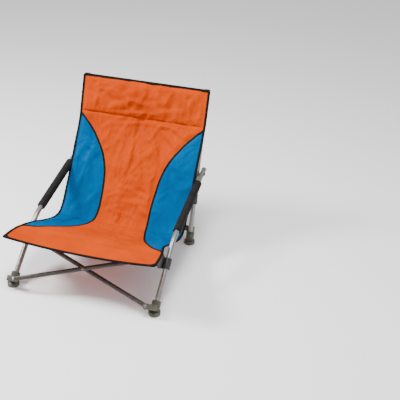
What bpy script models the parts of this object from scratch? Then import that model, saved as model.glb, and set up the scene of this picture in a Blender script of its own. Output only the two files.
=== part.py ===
"""Low folding camp chair: two bent side frames, crossed braces front and back, and a hung fabric sling.

Metres, +Z up, +Y towards the back of the chair. The origin lies on the floor under the middle of the chair.
The chair folds flat sideways: the right side slides to the left one while the braces stand up.
"""

import math

import bmesh
import bpy
from mathutils import Matrix, Vector

# Overall sizes
FRAME_WIDTH = 0.500          # between the axes of the two leg tubes
FRONT_FOOT_Y = -0.2919       # where the front leg meets the floor
BACK_TOP = (0.617, 0.556)    # top of the upright tube: behind the front foot, above the floor
REAR_FOOT_SETBACK = 0.470    # from front foot to rear foot
ARM_PIVOT = (0.528, 0.265)   # where the arm is bolted to the upright

# Tubes
TUBE_RADIUS = 0.009
TUBE_WALL = 0.001
BRACE_RADIUS = 0.0075
BRACE_WALL = 0.001
LEG_END_HEIGHT = 0.014       # the tubes stop this far above the floor, inside the feet
ARM_FRONT = (0.187, 0.176)   # corner between leg and arm, before it is rounded
ARM_BEND_RADIUS = 0.120
UPRIGHT_BEND_RADIUS = 0.300
ARM_OVERHANG = 0.026         # of the arm tube past its bolt
SIDE_GAP = 0.001             # between arm tube and upright

# Foam grip on the arm
GRIP_RADIUS = 0.0145
GRIP_START = 0.285           # along the tube from the floor end
GRIP_LENGTH = 0.262

# Feet and brackets
HUB_RADIUS = 0.0150
HUB_LENGTH = 0.031
SOCKET_CLEARANCE = 0.018     # room for the tube above the hub, through the ear's block
PAD_RADIUS = 0.0200
PAD_HEIGHT = 0.012
EAR_THICKNESS = 0.006
EAR_RADIUS = 0.010
PIN_RADIUS = 0.003
PIN_INSET = 0.022            # from the tube's axis in to the brace's pin
PIN_HEIGHT = 0.041
BRACKET_LENGTH = 0.036
BRACKET_WALL = 0.0042
PLATE_THICKNESS = 0.005
SHELF_THICKNESS = 0.004
RIVET_HEAD_RADIUS = 0.006
RIVET_HEAD_THICKNESS = 0.0022
STEP_IN = 0.0005             # one moulded face set back from the next

# Braces: each crosses to the other side, in a leaning plane
FRONT_PIN_SETBACK = -0.024
FRONT_BRACE_LEAN = 0.79      # depth gained per height gained
FRONT_BRACE_RISE = 0.156     # along the leaning plane
REAR_PIN_SETBACK = 0.505
REAR_BRACE_LEAN = 0.306
REAR_BRACE_RISE = 0.150
BRACE_OVERHANG = 0.008       # of the tube past its pin
CAP_RADIUS = 0.0085
CAP_LENGTH = 0.016

# Sling
SEAT_HALF_WIDTH = 0.236
BACK_HALF_WIDTH = 0.233
CORNER_FLARE = 0.020         # how far the front corners reach past that
FLARE_DEPTH = 0.090
SHEET_THICKNESS = 0.003
SEAT_PROFILE = ((-0.029, 0.200), (0.100, 0.186), (0.190, 0.150), (0.275, 0.113), (0.330, 0.103))
BACK_PROFILE = ((0.376, 0.131), (0.430, 0.205), (0.490, 0.302), (0.535, 0.368))
PROFILE_STEPS = 4            # between one point of a profile and the next
SLEEVE_BOTTOM = 0.425        # height where the back's side sleeves begin
SLEEVE_WALL = 0.002
SHEET_CLEARANCE = 0.0015     # from the back sheet to the sleeves behind it
CREASE_GAP = 0.0008          # half the space between seat and back where they meet

# Fits
TOUCH_GAP = 0.0003           # between pieces that touch
TUBE_BORE_GAP = 0.0003
PIN_GAP = 0.0003
SHELF_GAP = 0.0012

TUBE_AXIS_X = FRAME_WIDTH / 2
UPRIGHT_AXIS_X = TUBE_AXIS_X - 2 * TUBE_RADIUS - SIDE_GAP
BRACE_OFFSET = EAR_THICKNESS / 2 + TOUCH_GAP + BRACE_RADIUS
SIDES = (("left", -1), ("right", 1))


def clear_scene():
    for obj in list(bpy.data.objects):
        bpy.data.objects.remove(obj, do_unlink=True)


def new_collection(name):
    found = bpy.data.collections.new(name)
    bpy.context.scene.collection.children.link(found)
    return found


def material(name, colour, roughness, metallic=0.0):
    made = bpy.data.materials.new(name)
    made.use_nodes = True
    shader = made.node_tree.nodes["Principled BSDF"]
    shader.inputs["Base Color"].default_value = (*colour, 1.0)
    shader.inputs["Roughness"].default_value = roughness
    shader.inputs["Metallic"].default_value = metallic
    return made


clear_scene()
CHAIR = new_collection("folding_camp_chair")
CUTTERS = new_collection("cutters")
STEEL = material("grey_steel", (0.32, 0.32, 0.30), 0.35, 0.9)
RIVET_STEEL = material("rivet_steel", (0.55, 0.55, 0.55), 0.3, 1.0)
PLASTIC = material("grey_plastic", (0.12, 0.12, 0.11), 0.5)
FOAM = material("black_foam", (0.012, 0.012, 0.012), 0.9)
FABRIC = material("orange_fabric", (0.85, 0.17, 0.02), 0.8)
SLEEVE = material("blue_fabric", (0.01, 0.20, 0.42), 0.8)


def place(side, x, setback, height):
    """A point given by its distance from the middle, behind the front foot and above the floor."""
    return Vector((side * x, FRONT_FOOT_Y + setback, height))


def across(setback, height):
    return Vector((0, setback, height))


def add_object(name, mesh, finish, collection=None):
    obj = bpy.data.objects.new(name, mesh)
    (collection or CHAIR).objects.link(obj)
    if finish:
        mesh.materials.append(finish)
    mesh.shade_smooth()
    mesh.set_sharp_from_angle(angle=math.radians(35))
    return obj


def add_cutter(name, mesh):
    cutter = add_object(name, mesh, None, CUTTERS)
    cutter.hide_render = True
    cutter.display_type = "WIRE"
    return cutter


def boolean(obj, cutter, operation):
    change = obj.modifiers.new(operation.lower(), "BOOLEAN")
    change.operation = operation
    change.object = cutter


def axis_matrix(start, end):
    """Turns +Z onto the line from start to end, about its middle."""
    line = end - start
    return Matrix.Translation((start + end) / 2) @ line.to_track_quat("Z", "Y").to_matrix().to_4x4()


def cylinder_mesh(name, start, end, radius, segments=20):
    shape = bmesh.new()
    bmesh.ops.create_cone(
        shape, cap_ends=True, segments=segments, radius1=radius, radius2=radius,
        depth=(end - start).length, matrix=axis_matrix(start, end))
    mesh = bpy.data.meshes.new(name)
    shape.to_mesh(mesh)
    shape.free()
    return mesh


def box_mesh(name, centre, directions, sizes):
    """A box with its sides along three unit directions."""
    turn = Matrix(directions).transposed().to_4x4()
    shape = bmesh.new()
    bmesh.ops.create_cube(shape, size=1, matrix=Matrix.Translation(centre) @ turn @ Matrix.Diagonal((*sizes, 1)))
    bmesh.ops.recalc_face_normals(shape, faces=shape.faces)
    mesh = bpy.data.meshes.new(name)
    shape.to_mesh(mesh)
    shape.free()
    return mesh


def rounded_path(corners, radius):
    """The line through three points, its middle corner rounded with an arc of this radius."""
    start, corner, end = (Vector(point) for point in corners)
    back, ahead = (start - corner).normalized(), (end - corner).normalized()
    half = back.angle(ahead) / 2
    cut = radius / math.tan(half)
    centre = corner + (back + ahead).normalized() * (radius / math.sin(half))
    first, last = corner + back * cut - centre, corner + ahead * cut - centre
    steps = 8
    arc = [centre + first.slerp(last, step / steps).normalized() * radius for step in range(steps + 1)]
    return [start, *arc, end]


def tube_surface(name, points, radius):
    """An open tube along the points, as a mesh whose ends can be capped or thickened."""
    line = bpy.data.curves.new(name, "CURVE")
    line.dimensions = "3D"
    line.bevel_depth = radius
    line.bevel_resolution = 4
    spline = line.splines.new("POLY")
    spline.points.add(len(points) - 1)
    for spot, point in zip(spline.points, points):
        spot.co = (*point, 1)
    guide = bpy.data.objects.new(name, line)
    bpy.context.scene.collection.objects.link(guide)
    bpy.context.view_layer.update()
    mesh = bpy.data.meshes.new_from_object(guide.evaluated_get(bpy.context.evaluated_depsgraph_get()))
    bpy.data.objects.remove(guide)
    bpy.data.curves.remove(line)
    shape = bmesh.new()
    shape.from_mesh(mesh)
    bmesh.ops.remove_doubles(shape, verts=shape.verts, dist=1e-6)
    bmesh.ops.recalc_face_normals(shape, faces=shape.faces)
    shape.to_mesh(mesh)
    shape.free()
    return mesh


def tube(name, points, radius, wall, finish):
    obj = add_object(name, tube_surface(name, points, radius), finish)
    shell = obj.modifiers.new("wall", "SOLIDIFY")
    shell.thickness = wall
    shell.offset = -1
    shell.use_even_offset = True
    return obj


def drill(obj, start, end, radius):
    boolean(obj, add_cutter(obj.name + "_hole", cylinder_mesh("hole", start, end, radius)), "DIFFERENCE")


def join(obj, mesh):
    boolean(obj, add_cutter(obj.name + "_part", mesh), "UNION")


def pivot(name, location):
    empty = bpy.data.objects.new(name, None)
    empty.location = location
    CHAIR.objects.link(empty)
    return empty


def hang_on(empty, *objects):
    bpy.context.view_layer.update()
    for obj in objects:
        obj.parent = empty
        obj.matrix_parent_inverse = empty.matrix_world.inverted()


def along(points, distance):
    """The point this far along a line, and the line's direction there."""
    for start, end in zip(points[:-1], points[1:]):
        step = (end - start).length
        if distance <= step or end is points[-1]:
            return start + (end - start) * (distance / step), (end - start).normalized()
        distance -= step


def stretch_of(points, start, length):
    """The part of a line between two distances along it."""
    inside, travelled = [along(points, start)[0]], 0.0
    for first, second in zip(points[:-1], points[1:]):
        travelled += (second - first).length
        if start < travelled < start + length:
            inside.append(second)
    return inside + [along(points, start + length)[0]]


def end_plug(name, end, direction, tube_radius, wall):
    """A moulded plug: a stub in the tube and a head that covers the tube's end."""
    stub, head = 0.012, 0.004
    plug = add_object(name, cylinder_mesh(name, end - direction * stub, end + direction * head / 2,
                                          tube_radius - wall - TUBE_BORE_GAP), PLASTIC)
    join(plug, cylinder_mesh("head", end + direction * TOUCH_GAP, end + direction * head, tube_radius))
    return plug


def rivet(name, start, end, finish=RIVET_STEEL):
    """A shaft from start to end with a flat head outside each end."""
    line = (end - start).normalized()
    made = add_object(name, cylinder_mesh(name, start - line * RIVET_HEAD_THICKNESS / 2,
                                          end + line * RIVET_HEAD_THICKNESS / 2, PIN_RADIUS), finish)
    join(made, cylinder_mesh("head", start - line * RIVET_HEAD_THICKNESS, start, RIVET_HEAD_RADIUS))
    join(made, cylinder_mesh("head", end, end + line * RIVET_HEAD_THICKNESS, RIVET_HEAD_RADIUS))
    return made


class BracePlane:
    """The leaning plane that a pair of crossed braces folds in."""

    def __init__(self, pin_setback, lean, rise, tube_x):
        self.up = Vector((0, lean, 1)).normalized()
        self.forward = self.up.cross(Vector((1, 0, 0))) * -1
        if self.forward.y > 0:
            self.forward.negate()
        self.pin_x = tube_x - PIN_INSET
        self.tube_x = tube_x
        self.pin_setback = pin_setback
        self.rise = rise

    def pin(self, side):
        return place(side, self.pin_x, self.pin_setback, PIN_HEIGHT)

    def offset(self, side):
        """The left brace passes in front of the right one."""
        return self.forward * (-side * BRACE_OFFSET)

    def brace_ends(self, side):
        start = self.pin(side) + self.offset(side)
        end = self.pin(-side) + self.offset(side) + self.up * self.rise
        return start, end


def leg_line(side):
    foot, bolt = across(0, LEG_END_HEIGHT), across(*ARM_PIVOT)
    front = across(*ARM_FRONT)
    end = bolt + (bolt - front).normalized() * ARM_OVERHANG
    return [place(side, TUBE_AXIS_X, point.y, point.z) for point in rounded_path((foot, front, end), ARM_BEND_RADIUS)]


def upright_line(side):
    foot = across(REAR_FOOT_SETBACK, LEG_END_HEIGHT)
    path = rounded_path((foot, across(*ARM_PIVOT), across(*BACK_TOP)), UPRIGHT_BEND_RADIUS)
    return [place(side, UPRIGHT_AXIS_X, point.y, point.z) for point in path]


def foot(name, line, plane, side):
    """A moulded foot: a socket for the tube, a flat pad, and an ear that carries the brace's rivet."""
    start, direction = along(line, 0)
    outward = Vector((side, 0, 0))
    pin = plane.pin(side)
    made = add_object(name, cylinder_mesh(name, start - direction * 0.003, start + direction * HUB_LENGTH,
                                          HUB_RADIUS, 28), PLASTIC)
    floor = Vector((start.x, start.y, 0))
    join(made, cylinder_mesh("pad", floor, floor + Vector((0, 0, PAD_HEIGHT)), PAD_RADIUS, 28))
    half = plane.forward * EAR_THICKNESS / 2
    join(made, cylinder_mesh("ear", pin - half, pin + half, EAR_RADIUS, 24))
    reach = PIN_INSET + TUBE_RADIUS - 0.001
    axes = (outward, plane.forward, plane.up)
    arm_size = (reach, EAR_THICKNESS - 2 * STEP_IN, 2 * (EAR_RADIUS - STEP_IN))
    join(made, box_mesh("ear_arm", pin + outward * reach / 2, axes, arm_size))
    to_hub = (along(line, HUB_LENGTH * 0.6)[0] - pin).dot(plane.forward)
    depth = abs(to_hub) + EAR_THICKNESS / 2 - 2 * STEP_IN
    middle = math.copysign((abs(to_hub) - EAR_THICKNESS / 2) / 2 + STEP_IN, to_hub)
    width = reach - PIN_INSET + HUB_RADIUS - 0.0055
    block = pin + outward * (reach + STEP_IN - width / 2) + plane.forward * middle
    join(made, box_mesh("ear_block", block, axes, (width, depth, 2 * (EAR_RADIUS - 2 * STEP_IN))))
    drill(made, start - direction * TOUCH_GAP, start + direction * (HUB_LENGTH + SOCKET_CLEARANCE),
          TUBE_RADIUS + TUBE_BORE_GAP)
    drill(made, pin - half * 3, pin + half * 3, PIN_RADIUS + PIN_GAP)
    return made


def bracket(name, line, centre_along, plane, side, outline):
    """A collar on the tube with a plate that carries a shelf for the crossing brace's end."""
    middle, direction = along(line, centre_along)
    half = direction * BRACKET_LENGTH / 2
    made = add_object(name, cylinder_mesh(name, middle - half, middle + half, TUBE_RADIUS + BRACKET_WALL, 28), PLASTIC)
    flat = bpy.data.curves.new(name + "_plate", "CURVE")
    flat.dimensions = "2D"
    flat.fill_mode = "BOTH"
    flat.extrude = PLATE_THICKNESS / 2
    spline = flat.splines.new("POLY")
    spline.points.add(len(outline) - 1)
    for spot, (setback, height) in zip(spline.points, outline):
        spot.co = (FRONT_FOOT_Y + setback, height, 0, 1)
    spline.use_cyclic_u = True
    guide = bpy.data.objects.new(name + "_plate", flat)
    bpy.context.scene.collection.objects.link(guide)
    bpy.context.view_layer.update()
    mesh = bpy.data.meshes.new_from_object(guide.evaluated_get(bpy.context.evaluated_depsgraph_get()))
    bpy.data.objects.remove(guide)
    plate_x = side * (abs(middle.x) - TUBE_RADIUS - TUBE_BORE_GAP - 2 * STEP_IN - PLATE_THICKNESS / 2)
    mesh.transform(Matrix(((0, 0, 1, plate_x), (1, 0, 0, 0), (0, 1, 0, 0), (0, 0, 0, 1))))
    shape = bmesh.new()
    shape.from_mesh(mesh)
    bmesh.ops.remove_doubles(shape, verts=shape.verts, dist=1e-6)
    bmesh.ops.recalc_face_normals(shape, faces=shape.faces)
    shape.to_mesh(mesh)
    shape.free()
    join(made, mesh)
    end = plane.pin(side) + plane.up * plane.rise
    top = end - plane.up * (CAP_RADIUS / 0.9 + 0.0027 + SHELF_GAP)
    inner, outer = abs(end.x) - 0.009, abs(plate_x)
    centre = Vector((side * (inner + outer) / 2, top.y, top.z)) - plane.up * SHELF_THICKNESS / 2
    size = (outer - inner, 2 * (BRACE_OFFSET + CAP_RADIUS), SHELF_THICKNESS)
    join(made, box_mesh("shelf", centre, (Vector((1, 0, 0)), plane.forward, plane.up), size))
    drill(made, middle - half * 1.5, middle + half * 1.5, TUBE_RADIUS + TUBE_BORE_GAP)
    return made


def cross_rivet(name, centre, plane, facing, spacer):
    """One half of the rivet where two braces cross: a head, a shaft through its own brace, and a spacer."""
    outer = plane.forward * facing
    face = BRACE_RADIUS + TOUCH_GAP
    start, end = centre + outer * face, centre - outer * face
    spacer_length = 2 * (BRACE_OFFSET - face) - TOUCH_GAP if spacer else 0
    made = add_object(name, cylinder_mesh(name, start + outer * RIVET_HEAD_THICKNESS / 2,
                                          end - outer * spacer_length / 2, PIN_RADIUS), RIVET_STEEL)
    join(made, cylinder_mesh("head", start, start + outer * RIVET_HEAD_THICKNESS, RIVET_HEAD_RADIUS))
    if spacer:
        join(made, cylinder_mesh("spacer", end - outer * spacer_length, end, RIVET_HEAD_RADIUS + 0.002))
    return made


def braces(prefix, plane, bodies):
    """A pair of crossed braces with their rivets and end caps."""
    for name, side in SIDES:
        start, end = plane.brace_ends(side)
        line = (end - start).normalized()
        cap_start = end - line * CAP_LENGTH
        brace = tube(f"{prefix}_brace_{name}", [start - line * BRACE_OVERHANG, end - line * 0.004],
                     BRACE_RADIUS, BRACE_WALL, STEEL)
        pin_line = plane.forward * (BRACE_RADIUS * 1.6)
        drill(brace, start - pin_line, start + pin_line, PIN_RADIUS + PIN_GAP)
        middle = (start + end) / 2
        drill(brace, middle - pin_line, middle + pin_line, PIN_RADIUS + PIN_GAP)
        cap = add_object(f"{prefix}_brace_cap_{name}", cylinder_mesh("cap", cap_start, end, CAP_RADIUS), PLASTIC)
        drill(cap, cap_start - line * 0.01, end - line * (0.004 - TOUCH_GAP), BRACE_RADIUS + TUBE_BORE_GAP)
        half_rivet = cross_rivet(f"{prefix}_cross_rivet_{name}", middle, plane, -side, side < 0)
        hang_on(pivot(f"{prefix}_brace_{name}_pivot", plane.pin(side)), brace, cap, half_rivet)
        far = -side * (EAR_THICKNESS / 2 + 2 * BRACE_RADIUS + 2 * TOUCH_GAP)
        near = side * (EAR_THICKNESS / 2 + TOUCH_GAP)
        pin = rivet(f"{prefix}_foot_rivet_{name}", plane.pin(side) + plane.forward * near,
                    plane.pin(side) + plane.forward * far)
        bodies[side].append(pin)


def smooth_profile(corners):
    """Points on a smooth curve through the corners, with even spacing between each pair."""
    points = [across(*corner) for corner in corners]
    tangents = [(after - before) / 2 for before, after in zip([points[0], *points], [*points[1:], points[-1]])]
    line = []
    for start, end, leave, arrive in zip(points[:-1], points[1:], tangents[:-1], tangents[1:]):
        for step in range(PROFILE_STEPS):
            t = step / PROFILE_STEPS
            line.append(start * (2 * t**3 - 3 * t**2 + 1) + leave * (t**3 - 2 * t**2 + t)
                        + end * (3 * t**2 - 2 * t**3) + arrive * (t**3 - t**2))
    return [*line, points[-1]]


def clear_of_crease(profile, end):
    """The profile with one end drawn back, so that seat and back don't touch where they meet."""
    ahead = 1 if end == 0 else -2
    profile[end] = profile[end] + (profile[ahead] - profile[end]).normalized() * CREASE_GAP
    return profile


def sheet(name, profile, half_width, finish):
    """A sheet that follows a profile from front to back, with its width set by half_width(setback)."""
    rows, columns = len(profile) - 1, 8
    shape = bmesh.new()
    bmesh.ops.create_grid(shape, x_segments=columns, y_segments=rows, size=0.5)
    for vert in shape.verts:
        row = profile[round((vert.co.y + 0.5) * rows)]
        vert.co = Vector((2 * vert.co.x * half_width(row.y), FRONT_FOOT_Y + row.y, row.z))
    bmesh.ops.recalc_face_normals(shape, faces=shape.faces)
    mesh = bpy.data.meshes.new(name)
    shape.to_mesh(mesh)
    shape.free()
    made = add_object(name, mesh, finish)
    shell = made.modifiers.new("cloth", "SOLIDIFY")
    shell.thickness = SHEET_THICKNESS
    shell.offset = 0
    return made


def seat_half_width(setback):
    """The seat is as wide as fits between the legs, and flares at its front corners."""
    share = min(max((SEAT_PROFILE[0][0] + FLARE_DEPTH - setback) / FLARE_DEPTH, 0), 1)
    return SEAT_HALF_WIDTH + CORNER_FLARE * share


def back_corners():
    """The back leaves the seat in a curve and then lies just in front of the uprights' sleeves."""
    in_front = TUBE_RADIUS + TUBE_BORE_GAP + SLEEVE_WALL + SHEET_CLEARANCE + SHEET_THICKNESS / 2
    bolt, top = across(*ARM_PIVOT), across(*BACK_TOP)
    line = (top - bolt).normalized()
    normal = Vector((0, -line.z, line.y))
    low = bolt + line * ((SLEEVE_BOTTOM - ARM_PIVOT[1]) / line.z)
    spots = (low, (low + top) / 2, top)
    return (*BACK_PROFILE, *((spot.y, spot.z) for spot in (point + normal * in_front for point in spots)))


def side_frame(name, side, front, rear):
    """Everything fixed to one side frame."""
    leg_points, upright_points = leg_line(side), upright_line(side)
    bolt = place(side, TUBE_AXIS_X, *ARM_PIVOT)
    leg = tube(f"leg_arm_tube_{name}", leg_points, TUBE_RADIUS, TUBE_WALL, STEEL)
    upright = tube(f"upright_tube_{name}", upright_points, TUBE_RADIUS, TUBE_WALL, STEEL)
    outward = Vector((side, 0, 0))
    inside, outside = Vector((side * UPRIGHT_AXIS_X, bolt.y, bolt.z)), bolt
    for tubing in (leg, upright):
        drill(tubing, inside - outward * 0.02, outside + outward * 0.02, PIN_RADIUS + PIN_GAP)
    bolt_piece = rivet(f"arm_bolt_{name}", inside - outward * (TUBE_RADIUS + TOUCH_GAP),
                       outside + outward * (TUBE_RADIUS + TOUCH_GAP))
    grip_line = stretch_of(leg_points, GRIP_START, GRIP_LENGTH)
    grip = tube(f"arm_grip_{name}", grip_line, GRIP_RADIUS, GRIP_RADIUS - TUBE_RADIUS - TUBE_BORE_GAP, FOAM)
    arm_end, arm_direction = leg_points[-1], (leg_points[-1] - leg_points[-2]).normalized()
    arm_plug = end_plug(f"arm_end_plug_{name}", arm_end, arm_direction, TUBE_RADIUS, TUBE_WALL)
    top, top_direction = upright_points[-1], (upright_points[-1] - upright_points[-2]).normalized()
    top_plug = end_plug(f"upright_plug_{name}", top, top_direction, TUBE_RADIUS, TUBE_WALL)
    front_foot = foot(f"front_foot_{name}", leg_points, front, side)
    rear_foot = foot(f"rear_foot_{name}", upright_points, rear, side)
    seat_bracket = bracket(f"seat_bracket_{name}", leg_points, 0.160, front, side, (
        (0.100, 0.111), (0.131, 0.139), (0.112, 0.163), (0.052, 0.180), (0.036, 0.172), (0.072, 0.128)))
    rear_bracket = bracket(f"rear_bracket_{name}", upright_points, 0.160, rear, side, (
        (0.500, 0.152), (0.509, 0.190), (0.545, 0.197), (0.571, 0.180), (0.571, 0.158), (0.540, 0.148)))
    low = (SLEEVE_BOTTOM - ARM_PIVOT[1]) / (BACK_TOP[1] - ARM_PIVOT[1])
    sleeve_start = upright_points[-1] + (inside - upright_points[-1]) * (1 - low)
    sleeve = tube(f"back_sleeve_{name}", [sleeve_start, upright_points[-1]],
                  TUBE_RADIUS + TUBE_BORE_GAP + SLEEVE_WALL, SLEEVE_WALL, SLEEVE)
    return [leg, upright, bolt_piece, grip, arm_plug, top_plug, front_foot, rear_foot, seat_bracket,
            rear_bracket, sleeve]


front_plane = BracePlane(FRONT_PIN_SETBACK, FRONT_BRACE_LEAN, FRONT_BRACE_RISE, TUBE_AXIS_X)
rear_plane = BracePlane(REAR_PIN_SETBACK, REAR_BRACE_LEAN, REAR_BRACE_RISE, UPRIGHT_AXIS_X)
frame_pieces = {side: side_frame(name, side, front_plane, rear_plane) for name, side in SIDES}
braces("front", front_plane, frame_pieces)
braces("rear", rear_plane, frame_pieces)
hang_on(pivot("right_frame_slide", place(1, TUBE_AXIS_X, 0, 0)), *frame_pieces[1])
sling_line = smooth_profile((*SEAT_PROFILE, *back_corners()))
crease = PROFILE_STEPS * (len(SEAT_PROFILE) - 1)
seat_line = clear_of_crease(sling_line[:crease + 1], -1)
back_line = clear_of_crease(sling_line[crease:], 0)
seat_sling = sheet("seat_sling", seat_line, seat_half_width, FABRIC)
hang_on(pivot("seat_crease", place(0, 0, *SEAT_PROFILE[-1])), seat_sling)
sheet("back_sling", back_line, lambda setback: BACK_HALF_WIDTH, FABRIC)
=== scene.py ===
"""Low folding camp chair with a sewn fabric sling.

Metres, +Z up, +Y towards the back of the chair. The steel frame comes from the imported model;
the sling, its bindings and its corner pockets are sewn here. "Setback" is measured behind the
point where the front legs stand.
"""

import math

import bmesh
import bpy
from mathutils import Matrix, Vector, noise


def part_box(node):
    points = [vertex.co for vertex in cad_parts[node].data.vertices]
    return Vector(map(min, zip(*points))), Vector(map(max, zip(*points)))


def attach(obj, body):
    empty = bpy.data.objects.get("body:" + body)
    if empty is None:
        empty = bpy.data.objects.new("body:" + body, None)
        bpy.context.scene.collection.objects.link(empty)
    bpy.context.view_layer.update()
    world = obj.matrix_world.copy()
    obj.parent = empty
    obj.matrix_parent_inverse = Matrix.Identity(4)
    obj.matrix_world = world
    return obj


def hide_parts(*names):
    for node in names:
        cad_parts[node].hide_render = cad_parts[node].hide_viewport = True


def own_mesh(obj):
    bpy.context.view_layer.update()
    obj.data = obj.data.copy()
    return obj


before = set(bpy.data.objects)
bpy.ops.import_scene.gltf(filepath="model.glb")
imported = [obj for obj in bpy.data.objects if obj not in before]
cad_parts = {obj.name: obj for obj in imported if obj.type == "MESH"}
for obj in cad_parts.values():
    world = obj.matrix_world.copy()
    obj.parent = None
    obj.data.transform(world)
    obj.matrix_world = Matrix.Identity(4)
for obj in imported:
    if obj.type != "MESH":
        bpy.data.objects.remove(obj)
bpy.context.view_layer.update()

# ---------------------------------------------------------------------------------------------
# The studio: a pale floor, an even white surround and large soft lamps, with the camera a little
# above and to the sitter's left of the chair.

CAMERA_PLACE = (0.8503, -2.1803, 1.4529)
CAMERA_TURN = math.radians(13.99)
CAMERA_DOWN = math.radians(27.49)
CAMERA_ROLL = math.radians(3.28)
CAMERA_LENS = 67.57
FLOOR_COLOUR = (0.93, 0.93, 0.93)

camera_data = bpy.data.cameras.new("camera")
camera_data.lens = CAMERA_LENS
camera = bpy.data.objects.new("camera", camera_data)
camera.matrix_world = (
    Matrix.Translation(CAMERA_PLACE)
    @ Matrix.Rotation(CAMERA_TURN, 4, "Z")
    @ Matrix.Rotation(math.pi / 2 - CAMERA_DOWN, 4, "X")
    @ Matrix.Rotation(CAMERA_ROLL, 4, "Z")
)
bpy.context.scene.collection.objects.link(camera)
bpy.context.scene.camera = camera

world = bpy.data.worlds.new("even_white_surround")
world.use_nodes = True
surround = world.node_tree.nodes["Background"]
surround.inputs["Color"].default_value = (1.0, 1.0, 1.0, 1.0)
surround.inputs["Strength"].default_value = 0.8
bpy.context.scene.world = world


def soft_lamp(name, place, size, watts):
    """A square area lamp that faces the middle of the chair."""
    data = bpy.data.lights.new(name, "AREA")
    data.size = size
    data.energy = watts
    lamp = bpy.data.objects.new(name, data)
    lamp.location = place
    lamp.rotation_euler = (Vector((0, 0, 0.25)) - Vector(place)).to_track_quat("-Z", "Y").to_euler()
    bpy.context.scene.collection.objects.link(lamp)


soft_lamp("key_lamp", (-1.9, -0.6, 2.1), 0.7, 105)
soft_lamp("fill_lamp", (2.2, -1.6, 1.6), 1.8, 12)
soft_lamp("top_lamp", (0.3, -0.6, 2.8), 1.0, 88)


def new_piece(name, bm):
    """The finished bmesh as an object at the origin, with smooth faces."""
    data = bpy.data.meshes.new(name)
    for face in bm.faces:
        face.smooth = True
    bm.to_mesh(data)
    bm.free()
    made = bpy.data.objects.new(name, data)
    bpy.context.scene.collection.objects.link(made)
    return made


def node_material(name, colour, roughness, metallic=0.0):
    """A Principled material and helpers to add nodes to it."""
    made = bpy.data.materials.new(name)
    made.use_nodes = True
    shader = made.node_tree.nodes["Principled BSDF"]
    shader.inputs["Base Color"].default_value = (*colour, 1.0)
    shader.inputs["Roughness"].default_value = roughness
    shader.inputs["Metallic"].default_value = metallic
    return made, shader


def add_node(made, kind, **settings):
    """A node in the material, with its properties or its inputs set by name."""
    node = made.node_tree.nodes.new(kind)
    for key, value in settings.items():
        if hasattr(node, key):
            setattr(node, key, value)
        else:
            node.inputs[key.replace("_", " ").title()].default_value = value
    return node


def link(made, source, target):
    made.node_tree.links.new(source, target)


def mottle(made, shader, coords, scale, low, high, socket="Base Color", detail=4.0):
    """Noise that moves a colour or a roughness between two values."""
    grain = add_node(made, "ShaderNodeTexNoise", Scale=scale, Detail=detail)
    ramp = add_node(made, "ShaderNodeValToRGB")
    ramp.color_ramp.elements[0].position = 0.3
    ramp.color_ramp.elements[1].position = 0.7
    ramp.color_ramp.elements[0].color = (*low, 1.0)
    ramp.color_ramp.elements[1].color = (*high, 1.0)
    link(made, coords, grain.inputs["Vector"])
    link(made, grain.outputs["Fac"], ramp.inputs["Fac"])
    link(made, ramp.outputs["Color"], shader.inputs[socket])
    return grain, ramp


def bumped(made, shader, height, strength, distance, under=None):
    """A bump from this height, on top of another bump if there is one."""
    bump = add_node(made, "ShaderNodeBump")
    bump.inputs["Strength"].default_value = strength
    bump.inputs["Distance"].default_value = distance
    link(made, height, bump.inputs["Height"])
    if under:
        link(made, under.outputs["Normal"], bump.inputs["Normal"])
    link(made, bump.outputs["Normal"], shader.inputs["Normal"])
    return bump


floor_mesh = bmesh.new()
bmesh.ops.create_grid(floor_mesh, x_segments=1, y_segments=1, size=14)
floor = new_piece("floor", floor_mesh)
floor_paint, floor_shader = node_material("floor_paint", FLOOR_COLOUR, 0.9)
floor.data.materials.append(floor_paint)

# ---------------------------------------------------------------------------------------------
# Steel tubes: two side frames of bent 18 mm tube and four 15 mm braces, powder coated in a
# satin silver grey. The coat has fine orange peel and is a little darker on the braces.

SMOOTH_UNDER = math.radians(32)


def dressed(node, body, finish):
    """The CAD node with its loose triangles joined and its round faces smooth, in this finish."""
    bm = bmesh.new()
    bm.from_mesh(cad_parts[node].data)
    bmesh.ops.remove_doubles(bm, verts=bm.verts, dist=1e-6)
    made = new_piece(node + "_shown", bm)
    made.data.set_sharp_from_angle(angle=SMOOTH_UNDER)
    made.data.materials.clear()
    made.data.materials.append(finish)
    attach(made, body)
    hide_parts(node)
    return made


def powder_coat(name, light, dark, roughness):
    """Satin paint with metal flake: fine mottle, orange peel and slow changes of gloss."""
    made, shader = node_material(name, light, roughness, 0.75)
    coords = add_node(made, "ShaderNodeTexCoord").outputs["Object"]
    mottle(made, shader, coords, 90.0, dark, light)
    rub = add_node(made, "ShaderNodeTexNoise", Scale=22.0, Detail=5.0)
    spread = add_node(made, "ShaderNodeMapRange")
    spread.inputs["To Min"].default_value = roughness - 0.08
    spread.inputs["To Max"].default_value = roughness + 0.12
    link(made, coords, rub.inputs["Vector"])
    link(made, rub.outputs["Fac"], spread.inputs["Value"])
    link(made, spread.outputs["Result"], shader.inputs["Roughness"])
    peel = add_node(made, "ShaderNodeTexNoise", Scale=900.0, Detail=2.0)
    link(made, coords, peel.inputs["Vector"])
    bumped(made, shader, peel.outputs["Fac"], 0.18, 0.0002)
    return made


SIDE_STEEL = powder_coat("silver_powder_coat", (0.27, 0.265, 0.25), (0.19, 0.186, 0.175), 0.32)
BRACE_STEEL = powder_coat("bronze_grey_powder_coat", (0.075, 0.064, 0.058), (0.045, 0.037, 0.033), 0.38)

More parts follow.
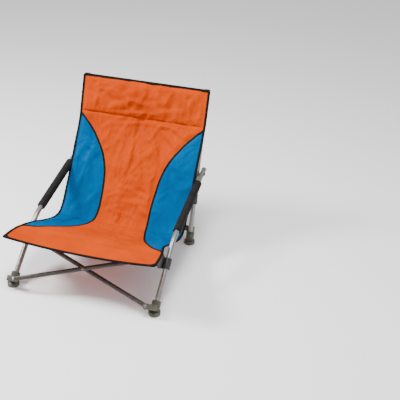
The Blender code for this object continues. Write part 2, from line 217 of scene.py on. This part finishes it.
SIDES = (("left", -1), ("right", 1))
for side, sign in SIDES:
    for tube in ("leg_arm_tube", "upright_tube"):
        dressed(f"{tube}_{side}", f"{side}_frame", SIDE_STEEL)
    for end in ("front", "rear"):
        brace = dressed(f"{end}_brace_{side}", f"{end}_brace_{side}", BRACE_STEEL)

# ---------------------------------------------------------------------------------------------
# Rivets and bolts: zinc plated steel, turned on a lathe, with fine rings on the heads.

PLATED, plated_shader = node_material("zinc_plate", (0.20, 0.195, 0.19), 0.40, 1.0)
plated_coords = add_node(PLATED, "ShaderNodeTexCoord").outputs["Object"]
mottle(PLATED, plated_shader, plated_coords, 160.0, (0.13, 0.127, 0.12), (0.22, 0.215, 0.21))
turning = add_node(PLATED, "ShaderNodeTexNoise", Scale=1400.0, Detail=3.0)
link(PLATED, plated_coords, turning.inputs["Vector"])
bumped(PLATED, plated_shader, turning.outputs["Fac"], 0.2, 0.0001)

for side, sign in SIDES:
    for rivet in ("arm_bolt", "front_foot_rivet", "rear_foot_rivet"):
        dressed(f"{rivet}_{side}", f"{side}_frame", PLATED)
    for end in ("front", "rear"):
        cross = dressed(f"{end}_cross_rivet_{side}", f"{end}_brace_{side}", PLATED)

# ---------------------------------------------------------------------------------------------
# Feet, brackets, plugs and caps: moulded nylon with a spark-eroded grain and scuffed, paler high spots.
# The feet, plugs and caps are a greyed olive. The brackets are the same grey plastic, coloured near
# black as painted shade from the sling above them.


def moulded(name, light, dark):
    """Moulded plastic: fine grain, slow colour change and scuffs."""
    made, shader = node_material(name, light, 0.55)
    coords = add_node(made, "ShaderNodeTexCoord").outputs["Object"]
    mottle(made, shader, coords, 60.0, dark, light, detail=7.0)
    grain = add_node(made, "ShaderNodeTexNoise", Scale=1600.0, Detail=2.0)
    link(made, coords, grain.inputs["Vector"])
    fine = bumped(made, shader, grain.outputs["Fac"], 0.35, 0.0002)
    scuff = add_node(made, "ShaderNodeTexVoronoi", Scale=140.0)
    link(made, coords, scuff.inputs["Vector"])
    bumped(made, shader, scuff.outputs["Distance"], 0.10, 0.0004, under=fine)
    return made


FOOT_NYLON = moulded("olive_grey_nylon", (0.088, 0.086, 0.060), (0.048, 0.047, 0.033))
# Painted shade: the brackets are the grey plastic of the feet, coloured near black for the shadow the
# sling casts on them.
BRACKET_NYLON_PAINTED_SHADE = moulded("bracket_nylon_with_painted_shade", (0.016, 0.016, 0.015), (0.009, 0.009, 0.008))
for side, sign in SIDES:
    for moulding in ("front_foot", "rear_foot", "arm_end_plug", "upright_plug"):
        dressed(f"{moulding}_{side}", f"{side}_frame", FOOT_NYLON)
    for moulding in ("seat_bracket", "rear_bracket"):
        dressed(f"{moulding}_{side}", f"{side}_frame", BRACKET_NYLON_PAINTED_SHADE)
    for end in ("front", "rear"):
        cap = dressed(f"{end}_brace_cap_{side}", f"{end}_brace_{side}", FOOT_NYLON)

# ---------------------------------------------------------------------------------------------
# Arm grips: black foam sleeves pushed over the bent arm. The cut ends are rounded over and the
# skin has closed cells and faint stretch marks.

GRIP_END_ROUND = 0.0028

FOAM, foam_shader = node_material("black_closed_cell_foam", (0.005, 0.005, 0.005), 0.75)
foam_shader.inputs["Specular IOR Level"].default_value = 0.18
foam_coords = add_node(FOAM, "ShaderNodeTexCoord").outputs["Object"]
mottle(FOAM, foam_shader, foam_coords, 35.0, (0.003, 0.003, 0.003), (0.009, 0.009, 0.009))
cells = add_node(FOAM, "ShaderNodeTexVoronoi", Scale=1500.0)
link(FOAM, foam_coords, cells.inputs["Vector"])
cell_bump = bumped(FOAM, foam_shader, cells.outputs["Distance"], 0.45, 0.0003)
dents = add_node(FOAM, "ShaderNodeTexNoise", Scale=55.0, Detail=3.0)
link(FOAM, foam_coords, dents.inputs["Vector"])
bumped(FOAM, foam_shader, dents.outputs["Fac"], 0.30, 0.0012, under=cell_bump)

for side, sign in SIDES:
    grip = dressed(f"arm_grip_{side}", f"{side}_frame", FOAM)
    rounding = grip.modifiers.new("rounded_ends", "BEVEL")
    rounding.width = GRIP_END_ROUND
    rounding.segments = 4
    rounding.angle_limit = math.radians(60)

# ---------------------------------------------------------------------------------------------
# The sling's shape. The seat falls from the front hem to a crease and the back rises from there
# to the tops of the uprights. Each row gives the edge, how much lower the middle hangs, and how
# far out the curved seam between the orange panel and the blue side panel lies.

FOOT_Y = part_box("seat_sling")[0][1] + 0.029
SEAT_ROWS = (
    # edge x, setback, z, middle setback, z, seam x
    (0.2560, -0.029, 0.2020, -0.024, 0.1850, 0.2560),
    (0.2550, 0.012, 0.1990, 0.012, 0.1810, 0.2550),
    (0.2520, 0.050, 0.1945, 0.050, 0.1765, 0.2520),
    (0.2470, 0.075, 0.1900, 0.075, 0.1730, 0.2458),
    (0.2410, 0.099, 0.1860, 0.099, 0.1690, 0.2080),
    (0.2360, 0.128, 0.1770, 0.128, 0.1615, 0.1850),
    (0.2360, 0.158, 0.1650, 0.158, 0.1510, 0.1660),
    (0.2360, 0.193, 0.1495, 0.193, 0.1370, 0.1490),
    (0.2360, 0.235, 0.1320, 0.235, 0.1215, 0.1310),
    (0.2360, 0.275, 0.1170, 0.276, 0.1085, 0.1180),
    (0.2360, 0.304, 0.1090, 0.306, 0.1020, 0.1090),
    (0.2360, 0.330, 0.1060, 0.331, 0.1000, 0.1030),
)
BACK_ROWS = (
    (0.2360, 0.330, 0.1060, 0.331, 0.1000, 0.1030),
    (0.2360, 0.352, 0.1110, 0.355, 0.1050, 0.0995),
    (0.2360, 0.376, 0.1320, 0.383, 0.1270, 0.0975),
    (0.2365, 0.402, 0.1660, 0.412, 0.1610, 0.0980),
    (0.2370, 0.430, 0.2060, 0.443, 0.2000, 0.1020),
    (0.2370, 0.461, 0.2540, 0.476, 0.2470, 0.1100),
    (0.2375, 0.490, 0.3020, 0.506, 0.2950, 0.1290),
    (0.2380, 0.513, 0.3370, 0.530, 0.3310, 0.1540),
    (0.2385, 0.535, 0.3680, 0.551, 0.3620, 0.1810),
    (0.2390, 0.554, 0.4000, 0.568, 0.3950, 0.2140),
    (0.2395, 0.5645, 0.4240, 0.577, 0.4200, 0.2395),
    (0.2400, 0.5720, 0.4450, 0.582, 0.4420, 0.2400),
    (0.2400, 0.5850, 0.4870, 0.592, 0.4860, 0.2400),
    (0.2400, 0.5970, 0.5270, 0.601, 0.5265, 0.2400),
    (0.2400, 0.6060, 0.5570, 0.608, 0.5560, 0.2400),
)
ROW_STEPS = 12
SAG_SHAPE = 2.3              # how flat the middle of the sag is
WING_TIP = 0.0012            # width left of a side panel at its pointed ends


def through(rows, steps):
    """Rows on a smooth curve through the given ones, so many from each to the next."""
    smooth = []
    last = len(rows) - 1
    for i in range(last):
        a, b, c, d = (rows[max(0, min(last, i + k))] for k in (-1, 0, 1, 2))
        for step in range(steps):
            t = step / steps
            smooth.append(tuple(
                0.5 * (2 * q + (r - p) * t + (2 * p - 5 * q + 4 * r - s) * t * t
                       + (3 * q - p - 3 * r + s) * t ** 3)
                for p, q, r, s in zip(a, b, c, d)
            ))
    smooth.append(rows[-1])
    return smooth


SEAT_LINES = through(SEAT_ROWS, ROW_STEPS)
BACK_LINES = through(BACK_ROWS, ROW_STEPS)


def line_at(lines, v):
    """The row at a share v of the way along, from 0 to 1."""
    place = max(0.0, min(1.0, v)) * (len(lines) - 1)
    i = min(int(place), len(lines) - 2)
    t = place - i
    return tuple(a + (b - a) * t for a, b in zip(lines[i], lines[i + 1]))


def flat_point(lines, x, v):
    """A point of the smooth sling, without its folds."""
    edge, edge_setback, edge_z, middle_setback, middle_z, _ = line_at(lines, v)
    sag = 1 - min(1.0, abs(x) / edge) ** SAG_SHAPE
    return Vector((
        x,
        FOOT_Y + edge_setback + (middle_setback - edge_setback) * sag,
        edge_z + (middle_z - edge_z) * sag,
    ))


def facing(lines, x, v):
    """The way the fabric faces there, towards the sitter."""
    step = 0.004
    along = flat_point(lines, x, v + step) - flat_point(lines, x, v - step)
    across = flat_point(lines, x + step, v) - flat_point(lines, x - step, v)
    return across.cross(along).normalized()


# Folds pulled into the fabric: x, height up the back or setback on the seat, direction in
# degrees from straight across, half length, half width, and height of the ridge.
BACK_FOLDS = (
    (-0.060, 0.395, 62, 0.060, 0.009, 0.0034), (0.045, 0.385, 118, 0.070, 0.010, 0.0036),
    (-0.015, 0.345, 74, 0.075, 0.008, 0.0034), (0.075, 0.330, 128, 0.060, 0.009, 0.0030),
    (-0.070, 0.300, 80, 0.060, 0.008, 0.0028), (0.020, 0.285, 106, 0.080, 0.009, 0.0038),
    (0.060, 0.255, 118, 0.055, 0.008, 0.0030), (-0.030, 0.245, 86, 0.060, 0.008, 0.0030),
    (0.105, 0.375, 146, 0.050, 0.008, 0.0026), (-0.120, 0.400, 34, 0.050, 0.008, 0.0026),
    (-0.010, 0.205, 12, 0.050, 0.007, 0.0030), (0.050, 0.190, -14, 0.045, 0.007, 0.0034),
    (-0.055, 0.180, 22, 0.035, 0.006, 0.0028), (0.015, 0.165, 4, 0.055, 0.007, 0.0036),
    (0.060, 0.150, -24, 0.035, 0.006, 0.0030), (-0.040, 0.142, 16, 0.035, 0.006, 0.0030),
    (0.010, 0.128, -6, 0.060, 0.006, 0.0030), (-0.030, 0.410, 8, 0.070, 0.007, 0.0024),
    (0.090, 0.412, -4, 0.060, 0.006, 0.0022), (0.150, 0.395, 160, 0.040, 0.007, 0.0022),
    (-0.165, 0.300, 60, 0.060, 0.012, 0.0028), (0.170, 0.290, 118, 0.065, 0.012, 0.0028),
    (-0.190, 0.200, 74, 0.060, 0.012, 0.0026), (0.185, 0.190, 104, 0.060, 0.012, 0.0026),
    (-0.140, 0.150, 40, 0.040, 0.010, 0.0026), (0.145, 0.150, 138, 0.040, 0.010, 0.0026),
)
HEADREST_FOLDS = (
    (-0.090, 0.470, 18, 0.060, 0.009, 0.0030), (0.010, 0.478, -12, 0.070, 0.010, 0.0032),
    (0.100, 0.465, 10, 0.060, 0.009, 0.0026), (-0.150, 0.500, 38, 0.050, 0.009, 0.0026),
    (0.060, 0.515, -30, 0.055, 0.010, 0.0024), (-0.040, 0.520, 24, 0.060, 0.011, 0.0022),
    (0.170, 0.500, -36, 0.050, 0.009, 0.0024), (-0.020, 0.447, 4, 0.090, 0.006, 0.0028),
)
SEAT_FOLDS = (
    (-0.030, 0.250, 8, 0.070, 0.008, 0.0026), (0.050, 0.275, -10, 0.060, 0.007, 0.0028),
    (-0.010, 0.295, 3, 0.080, 0.006, 0.0028), (0.060, 0.225, -16, 0.060, 0.009, 0.0020),
    (-0.080, 0.180, 22, 0.070, 0.012, 0.0018), (0.090, 0.150, -24, 0.080, 0.013, 0.0018),
    (-0.140, 0.100, 14, 0.080, 0.014, 0.0016), (0.000, 0.060, 2, 0.160, 0.016, 0.0014),
    (0.140, 0.050, -10, 0.090, 0.012, 0.0016), (-0.170, 0.020, 30, 0.060, 0.010, 0.0022),
    (0.190, 0.005, -34, 0.050, 0.009, 0.0022), (-0.190, 0.240, 64, 0.060, 0.012, 0.0024),
    (0.190, 0.250, 112, 0.060, 0.012, 0.0024), (0.150, 0.300, 150, 0.040, 0.008, 0.0026),
    (-0.150, 0.300, 28, 0.040, 0.008, 0.0026),
)
RIPPLE_SIZE = 0.052
RIPPLE_HEIGHT = 0.0070
CREASE_HEIGHT = 0.0052
CRUMPLE_HEIGHT = 0.0026
SEAM_STIFF_WIDTH = 0.014


def fold_height(folds, x, s):
    """The height of the folds at a place on the fabric."""
    total = 0.0
    for fold_x, fold_s, degrees, length, width, height in folds:
        turn = math.radians(degrees)
        dx, ds = x - fold_x, s - fold_s
        along = (dx * math.cos(turn) + ds * math.sin(turn)) / length
        across = (ds * math.cos(turn) - dx * math.sin(turn) + 0.03 * length * along * along) / width
        if abs(along) < 2.4 and abs(across) < 3.2:
            total += height * math.exp(-along * along) * (
                math.exp(-across * across) - 0.45 * math.exp(-(across - 1.5) ** 2)
            )
    return total


def ripple(x, s, seed, share):
    """Uneven slackness of the cloth: broad ripples, and sharp creases where the slack gathers."""
    place = Vector((x, s * 0.8, seed))
    bent = place / RIPPLE_SIZE + noise.noise_vector(place * 13) * 0.6
    broad = noise.noise(bent * 0.8)
    crease = 1 - 2 * abs(noise.noise(bent))
    fine = 1 - 2 * abs(noise.noise(bent * 2.3 + Vector((5, 3, 1))))
    return share * (RIPPLE_HEIGHT * broad + CREASE_HEIGHT * crease + CRUMPLE_HEIGHT * fine)


def seam_hold(row, x):
    """The doubled cloth along a curved seam is stiffer, so less of a fold crosses it."""
    off = abs(abs(x) - row[5]) / SEAM_STIFF_WIDTH
    return 1.0 - 0.75 * math.exp(-off * off)


def seat_relief(x, v):
    """How far the seat's fabric stands above its smooth shape."""
    row = line_at(SEAT_LINES, v)
    slack = 0.30 + 0.70 * v ** 1.5
    held = min(1.0, (row[0] - abs(x)) / 0.020) * min(1.0, (1 - v) / 0.06) * seam_hold(row, x)
    hem = min(1.0, v / 0.05)
    return held * hem * (ripple(x, row[1], 11.0, 0.6 * slack) + fold_height(SEAT_FOLDS, x, row[1]))


def back_relief(x, v):
    """How far the back's fabric stands out from its smooth shape."""
    row = line_at(BACK_LINES, v)
    height = row[2]
    held = min(1.0, (row[0] - abs(x)) / 0.018) * min(1.0, v / 0.06) * min(1.0, (1 - v) / 0.05)
    held *= seam_hold(row, x)
    folds = BACK_FOLDS if height < POCKET_SEAM_Z else HEADREST_FOLDS
    puff = pocket_puff(x, height)
    pull = min(1.0, abs(height - POCKET_SEAM_Z) / 0.006)
    return held * pull * (ripple(x, height, 23.0, 1.0) + fold_height(folds, x, height)) + puff


POCKET_SEAM_Z = 0.4300       # the stitched line under the headrest
POCKET_TOP_Z = 0.552
POCKET_PUFF = 0.0075


def pocket_puff(x, z):
    """The headrest is a second layer of cloth that stands off the back between its stitched edges."""
    if z < POCKET_SEAM_Z:
        return 0.0
    up = min(1.0, (z - POCKET_SEAM_Z) / (POCKET_TOP_Z - POCKET_SEAM_Z))
    across = max(0.0, 1 - (abs(x) / 0.232) ** 6)
    return POCKET_PUFF * across * max(0.0, math.sin(math.pi * up)) ** 0.6


def seat_point(x, v):
    return flat_point(SEAT_LINES, x, v) + facing(SEAT_LINES, x, v) * seat_relief(x, v)


def back_point(x, v):
    return flat_point(BACK_LINES, x, v) + facing(BACK_LINES, x, v) * back_relief(x, v)


def sewn_panel(name, columns, rows, place, size):
    """A grid of cloth, each corner of which is put where place(u, v) says; UVs are in metres."""
    bm = bmesh.new()
    bmesh.ops.create_grid(bm, x_segments=columns, y_segments=rows, size=0.5)
    uv = bm.loops.layers.uv.new("cloth")
    for face in bm.faces:
        for loop in face.loops:
            loop[uv].uv = ((loop.vert.co.x + 0.5) * size[0], (loop.vert.co.y + 0.5) * size[1])
    for vert in bm.verts:
        vert.co = place(vert.co.x + 0.5, vert.co.y + 0.5)
    made = new_piece(name, bm)
    return made


# ---------------------------------------------------------------------------------------------
# The cloth itself: a coarse plain-weave polyester, coated on the back, in orange for the middle
# and the headrest and in blue for the side panels.

THREADS_PER_METRE = 1500.0
CLOTH_THICKNESS = 0.0011


def woven_cloth(name, light, dark):
    """Plain weave: two sets of threads as fine bands, with slubs, soft creases and faded patches."""
    made, shader = node_material(name, light, 0.72)
    shader.inputs["Specular IOR Level"].default_value = 0.02
    cloth = add_node(made, "ShaderNodeUVMap", uv_map="cloth").outputs["UV"]
    coords = add_node(made, "ShaderNodeTexCoord").outputs["Object"]
    threads = []
    for direction in ("X", "Y"):
        band = add_node(made, "ShaderNodeTexWave", bands_direction=direction)
        band.inputs["Scale"].default_value = THREADS_PER_METRE / 20
        band.inputs["Distortion"].default_value = 0.6
        band.inputs["Detail"].default_value = 1.0
        link(made, cloth, band.inputs["Vector"])
        threads.append(band.outputs["Fac"])
    weave = add_node(made, "ShaderNodeMath", operation="ADD")
    link(made, threads[0], weave.inputs[0])
    link(made, threads[1], weave.inputs[1])
    _, ramp = mottle(made, shader, coords, 9.0, dark, light, detail=6.0)
    slub = add_node(made, "ShaderNodeTexNoise", Scale=260.0, Detail=3.0)
    link(made, cloth, slub.inputs["Vector"])
    shade = add_node(made, "ShaderNodeMix", data_type="RGBA", blend_type="MULTIPLY")
    shade.inputs["Factor"].default_value = 0.16
    link(made, ramp.outputs["Color"], shade.inputs["A"])
    link(made, slub.outputs["Fac"], shade.inputs["B"])
    link(made, shade.outputs["Result"], shader.inputs["Base Color"])
    creases = add_node(made, "ShaderNodeTexNoise", noise_type="RIDGED_MULTIFRACTAL")
    creases.inputs["Scale"].default_value = 13.0
    creases.inputs["Detail"].default_value = 3.0
    creases.inputs["Distortion"].default_value = 0.6
    link(made, coords, creases.inputs["Vector"])
    soft = bumped(made, shader, creases.outputs["Fac"], 0.55, 0.0035)
    bumped(made, shader, weave.outputs["Value"], 0.35, 0.00025, under=soft)
    return made


ORANGE = woven_cloth("orange_polyester", (0.50, 0.052, 0.0), (0.42, 0.039, 0.0))
BLUE = woven_cloth("blue_polyester", (0.0, 0.084, 0.232), (0.0, 0.066, 0.190))


def finish_cloth(piece, body, cloth):
    """Thickness, cloth and body."""
    piece.data.materials.append(cloth)
    thick = piece.modifiers.new("cloth_thickness", "SOLIDIFY")
    thick.thickness = CLOTH_THICKNESS
    thick.offset = 0.0
    fold_with(piece, body)


def fold_with(piece, body):
    """The piece rides on its body, with its own copy of its mesh."""
    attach(piece, body)
    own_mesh(piece)


def middle_x(lines, u, v):
    return (2 * u - 1) * line_at(lines, v)[5]


seat_middle = sewn_panel("seat_middle", 130, 96,
                         lambda u, v: seat_point(middle_x(SEAT_LINES, u, v), v), (0.47, 0.375))
back_middle = sewn_panel("back_middle", 130, 144,
                         lambda u, v: back_point(middle_x(BACK_LINES, u, v), v), (0.47, 0.53))
finish_cloth(seat_middle, "seat", ORANGE)
finish_cloth(back_middle, "left_frame", ORANGE)
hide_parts("seat_sling")
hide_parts("back_sling")

# ---------------------------------------------------------------------------------------------
# Side panels: blue crescents sewn to the orange middle along a curved seam. Each starts in a
# point on the seat's edge, crosses the crease and ends in a point under the headrest.

SEAT_TIP_ROW = 3             # the rows between which the panels lie
BACK_TIP_ROW = 10


def side_panel(name, sign, lines, first, last, point, rows, size):
    """The cloth between the seam and the edge, from one share of the length to another."""
    def place(u, v):
        along = first + (last - first) * v
        row = line_at(lines, along)
        seam = min(row[5], row[0] - WING_TIP)
        inner, outer = seam, row[0]
        share = u if sign > 0 else 1 - u
        return point(sign * (inner + (outer - inner) * share), along)
    return sewn_panel(name, 40, rows, place, size)


seat_tip = SEAT_TIP_ROW / (len(SEAT_ROWS) - 1)
back_tip = BACK_TIP_ROW / (len(BACK_ROWS) - 1)
panels = {}
for side, sign in SIDES:
    on_seat = side_panel(f"seat_side_panel_{side}", sign, SEAT_LINES, seat_tip, 1.0,
                         seat_point, 72, (0.134, 0.29))
    on_back = side_panel(f"back_side_panel_{side}", sign, BACK_LINES, 0.0, back_tip,
                         back_point, 104, (0.139, 0.41))
    finish_cloth(on_seat, "seat", BLUE)
    finish_cloth(on_back, "left_frame", BLUE)
    panels[side] = (on_seat, on_back)

# ---------------------------------------------------------------------------------------------
# Binding: black woven tape, folded over every outer edge and laid over the curved seams.

TAPE_SIDES = 12
EDGE_TAPE = (0.0092, 0.0044)  # width, thickness
SEAM_TAPE = (0.0074, 0.0036)
HEM_TAPE = (0.0104, 0.0050)

TAPE, tape_shader = node_material("black_tape", (0.013, 0.013, 0.014), 0.75)
tape_shader.inputs["Specular IOR Level"].default_value = 0.08
tape_uv = add_node(TAPE, "ShaderNodeUVMap", uv_map="cloth").outputs["UV"]
ribs = add_node(TAPE, "ShaderNodeTexWave", bands_direction="Y")
ribs.inputs["Scale"].default_value = 45.0
ribs.inputs["Distortion"].default_value = 0.4
link(TAPE, tape_uv, ribs.inputs["Vector"])
bumped(TAPE, tape_shader, ribs.outputs["Fac"], 0.4, 0.0003)
tape_coords = add_node(TAPE, "ShaderNodeTexCoord").outputs["Object"]
mottle(TAPE, tape_shader, tape_coords, 120.0, (0.002, 0.002, 0.002), (0.006, 0.006, 0.006))


def tape(name, path, normals, size):
    """A flattened tube of cloth along a path, its flat side facing along the normals."""
    width, thickness = size
    last = len(path) - 1
    bm = bmesh.new()
    bmesh.ops.create_grid(bm, x_segments=TAPE_SIDES, y_segments=last, size=0.5)
    uv = bm.loops.layers.uv.new("cloth")
    length = sum((b - a).length for a, b in zip(path, path[1:]))
    for face in bm.faces:
        for loop in face.loops:
            loop[uv].uv = ((loop.vert.co.x + 0.5) * 2 * width, (loop.vert.co.y + 0.5) * length)
    for vert in bm.verts:
        i = round((vert.co.y + 0.5) * last)
        turn = 2 * math.pi * (vert.co.x + 0.5)
        ahead = (path[min(i + 1, last)] - path[max(i - 1, 0)]).normalized()
        across = ahead.cross(normals[i]).normalized()
        up = across.cross(ahead)
        side_share, up_share = math.cos(turn), math.sin(turn)
        vert.co = (path[i]
                   + across * math.copysign(abs(side_share) ** 0.6, side_share) * width / 2
                   + up * math.copysign(abs(up_share) ** 0.6, up_share) * thickness / 2)
    bmesh.ops.remove_doubles(bm, verts=bm.verts, dist=1e-6)
    bmesh.ops.holes_fill(bm, edges=[edge for edge in bm.edges if edge.is_boundary])
    bmesh.ops.recalc_face_normals(bm, faces=bm.faces)
    made = new_piece(name, bm)
    made.data.materials.append(TAPE)
    return made


def tape_along(name, lines, point, x_of, first, last, count, size, body):
    """Tape that follows the cloth, at the x that x_of gives for each share of its length."""
    shares = [first + (last - first) * i / count for i in range(count + 1)]
    path = [point(x_of(line_at(lines, v)), v) for v in shares]
    normals = [facing(lines, x_of(line_at(lines, v)) * 0.98, v) for v in shares]
    made = tape(name, path, normals, size)
    fold_with(made, body)
    return made


for side, sign in SIDES:
    seat_edge = tape_along(f"seat_edge_tape_{side}", SEAT_LINES, seat_point,
                           lambda row: sign * row[0], 0.0, 1.0, 90, EDGE_TAPE, "seat")
    seat_seam = tape_along(f"seat_seam_tape_{side}", SEAT_LINES, seat_point,
                           lambda row: sign * row[5], seat_tip, 1.0, 90, SEAM_TAPE, "seat")
    back_edge = tape_along(f"back_edge_tape_{side}", BACK_LINES, back_point,
                           lambda row: sign * row[0], 0.0, 1.0, 120, EDGE_TAPE, "left_frame")
    back_seam = tape_along(f"back_seam_tape_{side}", BACK_LINES, back_point,
                           lambda row: sign * row[5], 0.0, back_tip, 120, SEAM_TAPE, "left_frame")
    on_seat, on_back = panels[side]

# ---------------------------------------------------------------------------------------------
# Corner pockets: black reinforcement sewn under the front corners of the seat, and turned over
# the tips, where the cloth takes the pull.

POCKET_REACH = 0.060
POCKET_DEPTH = 0.100         # share of the seat's length
TIP_REACH = 0.022
TIP_DEPTH = 0.045


def corner_patch(name, sign, reach, depth, lift):
    """A triangle of black cloth on a front corner, a little above or below the seat."""
    def place(u, v):
        edge = line_at(SEAT_LINES, v * depth)[0]
        x = sign * (edge - (u if sign < 0 else 1 - u) * reach * (1.02 - v))
        return seat_point(x, v * depth) + facing(SEAT_LINES, x, v * depth) * lift
    made = sewn_panel(name, 12, 12, place, (reach, reach))
    finish_cloth(made, "seat", TAPE)
    return made


for side, sign in SIDES:
    corner_patch(f"corner_pocket_{side}", sign, POCKET_REACH, POCKET_DEPTH, -0.0022)
    corner_patch(f"corner_tip_{side}", sign, TIP_REACH, TIP_DEPTH, 0.0016)

# ---------------------------------------------------------------------------------------------
# Sleeves: the back's upper sides are turned round the uprights and sewn, so the back hangs on
# the two tubes. The cloth is orange, like the headrest it belongs to, and gathers a little.

SLEEVE_SIDES = 36
SLEEVE_ROWS = 96
SLEEVE_GATHER = 0.0007
SLEEVE_WRINKLE_SIZE = 0.013


def gathered_sleeve(side):
    """A wrinkled tube of cloth between the two ends of the CAD sleeve, as wide as it is."""
    node = f"back_sleeve_{side}"
    corners = [vert.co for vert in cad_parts[node].data.vertices]
    low_corner, high_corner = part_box(node)
    middle_z = (low_corner[2] + high_corner[2]) / 2
    low_ring = [corner for corner in corners if corner.z < middle_z]
    high_ring = [corner for corner in corners if corner.z > middle_z]
    bottom = sum(low_ring, Vector()) / len(low_ring)
    top = sum(high_ring, Vector()) / len(high_ring)
    radius = (high_corner[0] - low_corner[0]) / 2
    outward = Vector((1, 0, 0))
    forward = outward.cross(top - bottom).normalized()

    def place(u, v):
        turn = 2 * math.pi * u
        spoke = outward * math.cos(turn) + forward * math.sin(turn)
        spot = bottom.lerp(top, v) + spoke * radius
        wrinkle = 1 - 2 * abs(noise.noise(Vector((spot.x, spot.y, spot.z * 2.2)) / SLEEVE_WRINKLE_SIZE))
        return spot + spoke * SLEEVE_GATHER * (wrinkle - 1)
    made = sewn_panel(f"{node}_shown", SLEEVE_SIDES, SLEEVE_ROWS, place,
                      (2 * math.pi * radius, (top - bottom).length))
    made.data.materials.append(ORANGE)
    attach(made, f"{side}_frame")
    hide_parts(node)
    return made


sleeves = [gathered_sleeve(side) for side, sign in SIDES]

HEM_COUNT = 110
hem_shares = [i / HEM_COUNT for i in range(HEM_COUNT + 1)]
seat_hem_x = [(2 * s - 1) * SEAT_ROWS[0][0] for s in hem_shares]
seat_hem = tape("seat_front_hem_tape", [seat_point(x, 0.0) for x in seat_hem_x],
                [facing(SEAT_LINES, x, 0.01) for x in seat_hem_x], HEM_TAPE)
back_hem_x = [(2 * s - 1) * BACK_ROWS[-1][0] for s in hem_shares]
back_hem = tape("back_top_hem_tape", [back_point(x, 1.0) for x in back_hem_x],
                [facing(BACK_LINES, x, 0.99) for x in back_hem_x], HEM_TAPE)
for hem, body in ((seat_hem, "seat"), (back_hem, "left_frame")):
    fold_with(hem, body)
